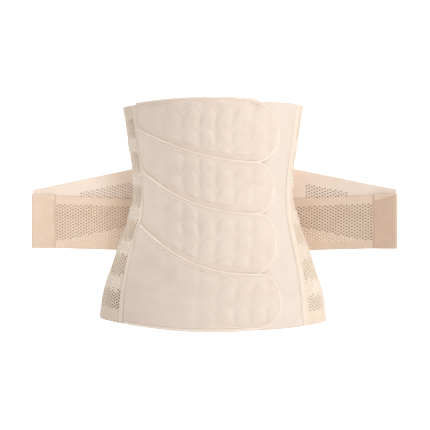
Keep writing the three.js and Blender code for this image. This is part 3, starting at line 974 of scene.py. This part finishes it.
def flap_stitching(index, material):
    """Raised stitching beside the binding, along the top edge and the lowest flap's bottom edge."""
    u = np.linspace(0.005, 0.93, 150)
    lines = []
    for v in (1, 0) if is_lowest(index) else (1,):
        x, z = flap_place(index, u, v + 0 * u, BINDING_WIDTH + STITCHING_INSET)
        lines.append(flap_point(index, x, z, FLAP_WALL + STITCHING_LIFT))
    return threads(FLAPS[index]["name"] + "_stitching", lines, STITCHING_RADIUS, material)


# Seam tapes
def seam_tape(side, material, stitching):
    """Finely ridged tape over a front seam, with raised stitching near each edge."""
    name = side["name"] + "_seam_tape"
    width = TAPE_WIDTH + side["tape_lap"]
    shares, faces = grid(edged(31, 0.02), edged(100, 0.002))

    def at(s, t, out):
        level = lerp(-BELOW_WAIST, ABOVE_WAIST, t / HEIGHT)
        from_seam = TAPE_GAP - side["tape_lap"] + s
        angle = turned(seam_angle(side, level), level, side["direction"] * from_seam)
        z = lerp(bottom_rim(angle), top_rim(angle), t / HEIGHT)
        return body_point(angle, z, PANEL_WALL + TAPE_LIFT + out)

    def surface(s, t, face):
        relief = 0.12 * np.cos(2 * math.pi * s / TAPE_RIDGE)
        edge = smooth(np.minimum(s, width - s) / TAPE_RIDGE)
        return at(s, t, face * (TAPE_WALL * lerp(0.4, 1, edge) + relief))

    tape = finish_piece(closed_sheet(name, shares * (width, HEIGHT), faces, surface, 0.2), material, name)
    t = np.linspace(1, HEIGHT - 1, 120)
    lines = [at(s + 0 * t, t, TAPE_WALL) for s in (TAPE_EDGE, width - TAPE_EDGE)]
    threads(side["name"] + "_seam_stitching", lines, TAPE_STITCHING_RADIUS, stitching)
    return tape


# Straps
def strap_middle(strap, x):
    """Height of the middle of a strap at a distance x from the back's centre."""
    return height_of(strap["end_level"]) + strap["rise"] * (x - STRAP_REACH)


def strap_size(strap):
    """Length and width of a strap, the width in whole half steps of the net."""
    tip = STRAP_REACH - TAB_WALL - EDGE_GAP
    return tip - STRAP_ROOT_GAP / 2, NET_UP / 2 * round(strap_width(strap) / (NET_UP / 2))


def strap_point(strap, side, s, t, out):
    """Points on a strap, from s along it and t up it."""
    x = STRAP_ROOT_GAP / 2 + s
    z = strap_middle(strap, x) + strap_width(strap) * (t / strap_size(strap)[1] - 0.5)
    return belt_point(side, x, z, layer_out(strap["layer"]) + out)


def backed_from(strap, s):
    """Height on a strap above which the slanted strap lies behind it."""
    x = STRAP_ROOT_GAP / 2 + s
    slanted = STRAPS[1]
    width = strap_size(strap)[1]
    step = strap_middle(slanted, x) - strap_middle(strap, x)
    step = step + (strap_width(strap) - strap_width(slanted)) / 2
    return np.clip(step * width / strap_width(strap), 0, 0.8 * width)


def strap_body(strap, side, material):
    """Elastic strap: net between plain ribbed borders, with smaller holes where nothing lies behind it."""
    name = strap["name"] + "_" + side["name"]
    length, width = strap_size(strap)
    low_border = strap["bottom_border"] * STRAP_WIDTH
    high_border = strap["top_border"] * STRAP_WIDTH
    net_start = strap["layer"] * side["net_start"] * STRAP_REACH
    net_end = length - TAB_LENGTH + 1 - strap["plain_end"] * STRAP_WIDTH

    def is_open(s, t):
        inside = min(t - low_border, width - t - high_border, s - net_start, net_end - s)
        if inside <= 0:
            return 0
        return 1 if t >= backed_from(strap, s) else BARE_HOLE

    def surface(s, t, face):
        border = smooth(np.maximum(low_border - t, high_border - width + t) / 2)
        rib = 0.12 * border * np.cos(2 * math.pi * t / STRAP_RIB)
        return strap_point(strap, side, s, t, face * NET_WALL + (2 * face - 1) * rib)

    places, faces = net(length, width, is_open, STRAP_HOLE)
    return finish_piece(closed_sheet(name, places, faces, surface), material, name)


def strap_hole_shade(strap, side, material, outer_material):
    """Thin layer behind a strap's net, painted in shade towards the holes so that they look dark, and in the
    strap's cloth outside.

    The level strap has it only where the slanted strap lies behind, so its net is open below that."""
    name = strap["name"] + "_" + side["name"] + "_hole_shade"
    length, width = strap_size(strap)
    shares, faces = grid(edged(60, 0.01), edged(16, 0.01))
    start = backed_from(strap, length * shares[:, 0])
    places = np.stack([length * shares[:, 0], lerp(start, width, shares[:, 1])], axis=1)

    def surface(s, t, face):
        return strap_point(strap, side, s, t, NET_WALL + 0.05 + face * SHADE_LAYER_WALL)

    behind = finish_piece(closed_sheet(name, places, faces, surface), material)
    second_material(behind, outer_material, lambda s, t, face: face == 1)


def tab_way():
    """Way of a tab's cloth in plan, as distances back from the strap ends and outwards."""
    low = -EDGE_GAP
    high = 2 * STRAP_WALL + LAYER_GAP + EDGE_GAP
    middle = (low + high) / 2
    bend = (high - low) / 2
    turn = np.linspace(-math.pi / 2, math.pi / 2, 13)
    inwards = np.linspace(TAB_LENGTH, bend + 2, 24)
    outwards = np.linspace(bend + 2, TAB_LENGTH, 24)
    back = np.concatenate([inwards, bend + TAB_WALL - bend * np.cos(turn), outwards])
    out = np.concatenate([low + 0 * inwards, middle + bend * np.sin(turn), high + 0 * outwards])
    return np.stack([back, out], axis=1)


def hook_tab(side, material, fold_material):
    """Hook tab folded round both strap ends, with a slanted strip of strap cloth along its top."""
    name = "hook_tab_" + side["name"]
    plan = tab_plan(side)
    way = tab_way()
    along = unit(np.gradient(way, axis=0))
    normal = np.stack([along[:, 1], -along[:, 0]], axis=1)
    distance = distance_along(way)
    length = distance[-1]
    shares, faces = grid(np.arange(len(way)), edged(60, 0.01))
    column = shares[:, 0].astype(int)
    places = np.stack([distance[column], TAB_HEIGHT * shares[:, 1]], axis=1)

    def over_strip_edge(s, t):
        from_mouth = np.minimum(s, length - s)
        return t - TAB_HEIGHT + TAB_FOLD * (1 - from_mouth / TAB_LENGTH)

    def surface(s, t, face):
        from_edge = edge_distance(s, t, length, TAB_HEIGHT)
        low_fold = t - 1.2 * TAB_FOLD + np.minimum(s, length - s)
        relief = 0.1 * ripple(s, t, 8) - 0.3 * ridge(from_edge - TAB_STITCHING, 0.5)
        relief = relief + 0.4 * ridge(over_strip_edge(s, t), 0.9) + 0.4 * ridge(low_fold, 1.3)
        wall = face * (TAB_WALL + np.clip(relief, -0.4, 0.4))
        spot = way[column] - normal[column] * wall[:, None]
        x, y = plan_point(plan, spot[:, 0], spot[:, 1]).T
        return np.stack([x * side["direction"], y, TAB_LEVEL - TAB_HEIGHT / 2 + t], axis=1)

    tab = finish_piece(closed_sheet(name, places, faces, surface, 0.35), material, name)
    second_material(tab, fold_material, lambda s, t, face: over_strip_edge(s, t) > 0)
    return tab


def back_patch(material):
    """Plain patch over the sewn roots of the straps."""
    level, slanted = STRAPS
    low = strap_middle(level, 0) - strap_width(level) / 2 - BACK_PATCH_MARGIN
    high = strap_middle(slanted, 0) + strap_width(slanted) / 2 + BACK_PATCH_MARGIN
    width = 2 * BACK_PATCH_HALF_WIDTH
    shares, faces = grid(edged(30, 0.02), edged(70, 0.005))

    def surface(s, t, face):
        angle = math.pi + (s - BACK_PATCH_HALF_WIDTH) / WAIST_HALF_WIDTH
        from_edge = edge_distance(s, t, width, high - low)
        relief = 0.15 * ripple(s, t, 8) - SUNK_LINE * ridge(from_edge - PATCH_STITCHING, 0.6)
        return body_point(angle, low + t, strap_stand_off(2) + face * (PATCH_WALL + relief))

    patch = closed_sheet("back_patch", shares * (width, high - low), faces, surface, 0.4)
    return finish_piece(patch, material, "back_patch")


# Stage, camera and light
def stage_material(name, albedo, glow):
    material = bpy.data.materials.new(name)
    material.use_nodes = True
    shader = material.node_tree.nodes["Principled BSDF"]
    set_inputs(shader, {"Base Color": (albedo, albedo, albedo, 1), "Roughness": 1, "Specular IOR Level": 0})
    set_inputs(shader, {"Emission Color": (1, 1, 1, 1), "Emission Strength": glow})
    return material


def make_stage():
    """Pale floor under the held-up part, and a white backdrop that turns up behind it."""
    turn = np.linspace(0, math.pi / 2, 16)
    left, right = -STAGE_HALF_WIDTH, STAGE_HALF_WIDTH
    bend_start = BACKDROP_DEPTH - BACKDROP_BEND
    y = np.concatenate([bend_start + BACKDROP_BEND * np.sin(turn), [BACKDROP_DEPTH]])
    z = np.concatenate([FLOOR_LEVEL + BACKDROP_BEND * (1 - np.cos(turn)), [BACKDROP_TOP]])
    wall_points = [(x, y[i], z[i]) for i in range(len(y)) for x in (left, right)]
    wall_faces = [(2 * i, 2 * i + 1, 2 * i + 3, 2 * i + 2) for i in range(len(y) - 1)]
    wall = make_object("backdrop", wall_points, wall_faces)
    wall.data.materials.append(stage_material("backdrop_white", 0.5, 1))
    outline = ((left, FLOOR_FRONT), (right, FLOOR_FRONT), (right, bend_start), (left, bend_start))
    ground = make_object("floor", [(x, y, FLOOR_LEVEL) for x, y in outline], [(0, 1, 2, 3)])
    ground.data.materials.append(stage_material("floor_pale", 0.8, 0.1))


def lamp(kind, name, place, target, **settings):
    """Light of a kind in its place, turned to a target."""
    light = bpy.data.lights.new(name, kind)
    for setting, value in settings.items():
        setattr(light, setting, value)
    obj = bpy.data.objects.new(name, light)
    obj.location = Vector(place)
    obj.rotation_euler = (Vector(target) - Vector(place)).to_track_quat("-Z", "Y").to_euler()
    bpy.context.scene.collection.objects.link(obj)


def make_camera():
    camera = bpy.data.cameras.new("camera")
    camera.sensor_width = 36
    camera.lens = 36 * CAMERA_DISTANCE / (PIXEL * IMAGE_SIZE)
    camera.clip_end = 100
    obj = bpy.data.objects.new("camera", camera)
    middle = IMAGE_SIZE / 2
    x = (middle - MIDDLE_PIXEL[0]) * PIXEL
    z = (MIDDLE_PIXEL[1] - middle) * PIXEL
    obj.location = Vector((x, -CAMERA_DISTANCE, z)) * MM
    obj.rotation_euler = (math.pi / 2, 0, 0)
    bpy.context.scene.collection.objects.link(obj)
    bpy.context.scene.camera = obj


def make_world():
    world = bpy.data.worlds.new("studio")
    world.use_nodes = True
    set_inputs(world.node_tree.nodes["Background"], {"Color": (1, 1, 1, 1), "Strength": WORLD_LIGHT})
    bpy.context.scene.world = world
    bpy.context.scene.view_settings.view_transform = "Standard"


# Cloths, each with its light and its dark tone
PLAIN_KNIT = cloth_material("plain_knit", "knit_plain", "EFE0D4", "E8D7C9")
NET_KNIT = cloth_material("net_knit", "knit_mesh", "F3E1CE", "E9D4BE", rib=(1.1, 1.1))
BAND_KNIT = cloth_material("band_knit", "knit_mesh", "F4E3D1", "EAD6C1", rib=(1.4, 1.4),
                           roughness=0.6, sheen=0.4)
# Painted light and shade seen through the side panels' holes: dark on the left, which lies in shade, and pale
# on the lit right
HOLE_SHADINGS = {
    "left": cloth_material("left_hole_shading_sheet", "knit_mesh", "B3957B", "A08369"),
    "right": cloth_material("right_hole_shading_sheet", "knit_mesh", "F1E4D7", "E9DACB"),
}
QUILTED = cloth_material("quilted_cloth", "quilted_cloth", "EFDFD1", "E8D5C6", rib=(0.7, 0.7), bump=0.2)
# Binding cloth paler than the flaps, partly a painted highlight for the bright lines along the binding's
# rolls; the stitching shares it
HIGHLIGHTED_BINDING = cloth_material("edge_binding_part_painted_highlight", "binding", "F8EBDF", "F1E0D2", rib=(0.8, 4.0), bump=0.3)
# Thread cloth painted paler than the bands: painted highlight standing for the satin glints on the zigzags
GLINT_THREAD = cloth_material("raised_thread_painted_glint", "knit_mesh", "FDF2E5", "F7E9DA", rib=(0.6, 0.6),
                        roughness=0.6, sheen=0.5)
TAPE = cloth_material("seam_tape", "seam_tape", "F4E5D6", "ECDAC8", rib=(1.5, 0.9))
ELASTIC = cloth_material("strap_elastic", "strap_elastic", "EEDAC8", "E6CDB7", rib=(0.9, 1.0))
# Copy of the elastic painted lighter for the slanted strap, offsetting the shade it lies in behind the level
# strap and near the body
ELASTIC_PAINTED_LIGHT = cloth_material("elastic_painted_light", "strap_elastic", "F8E8DB", "F1DFD0", rib=(0.9, 1.0))
# Painted shade seen through the straps' holes, darker on the right, whose straps face away from the light
STRAP_HOLE_SHADES = {
    "left": cloth_material("left_strap_hole_shade", "strap_elastic", "C0A28A", "B19279"),
    "right": cloth_material("right_strap_hole_shade", "strap_elastic", "97745A", "846249"),
}
TAPE_LOOK = {"rib": (1.2, 1.2), "bump": 0.5, "roughness": 0.95}
# Two copies of the tab cloth toned apart for how light falls: the right one painted darker as shade, its tab
# facing away from the light
LIT_AND_SHADED_TAB_CLOTHS = {
    "left": cloth_material("tab_tape_lit", "hook_tab", "EBD6C3", "E3C8B0", **TAPE_LOOK),
    "right": cloth_material("tab_tape_shaded", "hook_tab", "DFC6B1", "D6B8A2", **TAPE_LOOK),
}


# Edges of the plain panels, as angles at a height
def back_start(z):
    return turned(BACK_SEAM, z, EDGE_GAP)


def back_end(z):
    return 2 * math.pi + turned(-BACK_SEAM, z, -EDGE_GAP)


def front_start(z):
    return turned(seam_angle(LEFT, z), z, SEAM_ALLOWANCE + EDGE_GAP)


def front_end(z):
    return turned(seam_angle(RIGHT, z), z, -EDGE_GAP)


# All pieces, each sheet with its flat size
back, back_width = smooth_panel("back_panel", back_start, back_end, 80, 100, PLAIN_KNIT, 0)
front, front_width = smooth_panel("front_panel", front_start, front_end, 130, 110, PLAIN_KNIT, SEAM_RIBS)
for side in SIDES:
    tape = seam_tape(side, TAPE, HIGHLIGHTED_BINDING)
    panel = side_panel(side, NET_KNIT, BAND_KNIT)
    # Sheet of painted shade and light behind the net's holes
    hole_shading_sheet = side_hole_shading_sheet(side, HOLE_SHADINGS[side["name"]], NET_KNIT)
    zigzags = zigzag_threads(side, GLINT_THREAD)
    width, height = side_shape(side)[1:]
    tab = hook_tab(side, LIT_AND_SHADED_TAB_CLOTHS[side["name"]], ELASTIC)
    for strap in STRAPS:
        # The slanted strap takes the elastic painted lighter
        elastic = (ELASTIC, ELASTIC_PAINTED_LIGHT)[strap["layer"]]
        obj = strap_body(strap, side, elastic)
        # Layer of painted shade behind the strap's holes
        strap_hole_shade(strap, side, STRAP_HOLE_SHADES[side["name"]], elastic)
for index in range(len(FLAPS)):
    flap_body(index, QUILTED)
    flap_binding(index, HIGHLIGHTED_BINDING)
    flap_stitching(index, HIGHLIGHTED_BINDING)
patch = back_patch(PLAIN_KNIT)

make_stage()
make_world()
make_camera()
lamp("AREA", "front_key", (0.9, -2.2, 1.3), (0, 0, -0.04), size=1.0, energy=27, color=KEY_TINT)
lamp("AREA", "right_key", (2.3, -1.2, 0.8), (0, 0, -0.04), size=0.8, energy=18, color=KEY_TINT)
lamp("AREA", "left_fill", (-2.2, 0.4, 0.5), (-0.1, 0, -0.04), size=1.2, energy=4.5, color=FILL_TINT)
lamp("SPOT", "left_belt_fill", (-0.7, -1.7, -0.03), (-0.165, 0.05, -0.015), spot_size=math.radians(11),
     spot_blend=1, shadow_soft_size=0.04, energy=30, color=SPOT_TINT)
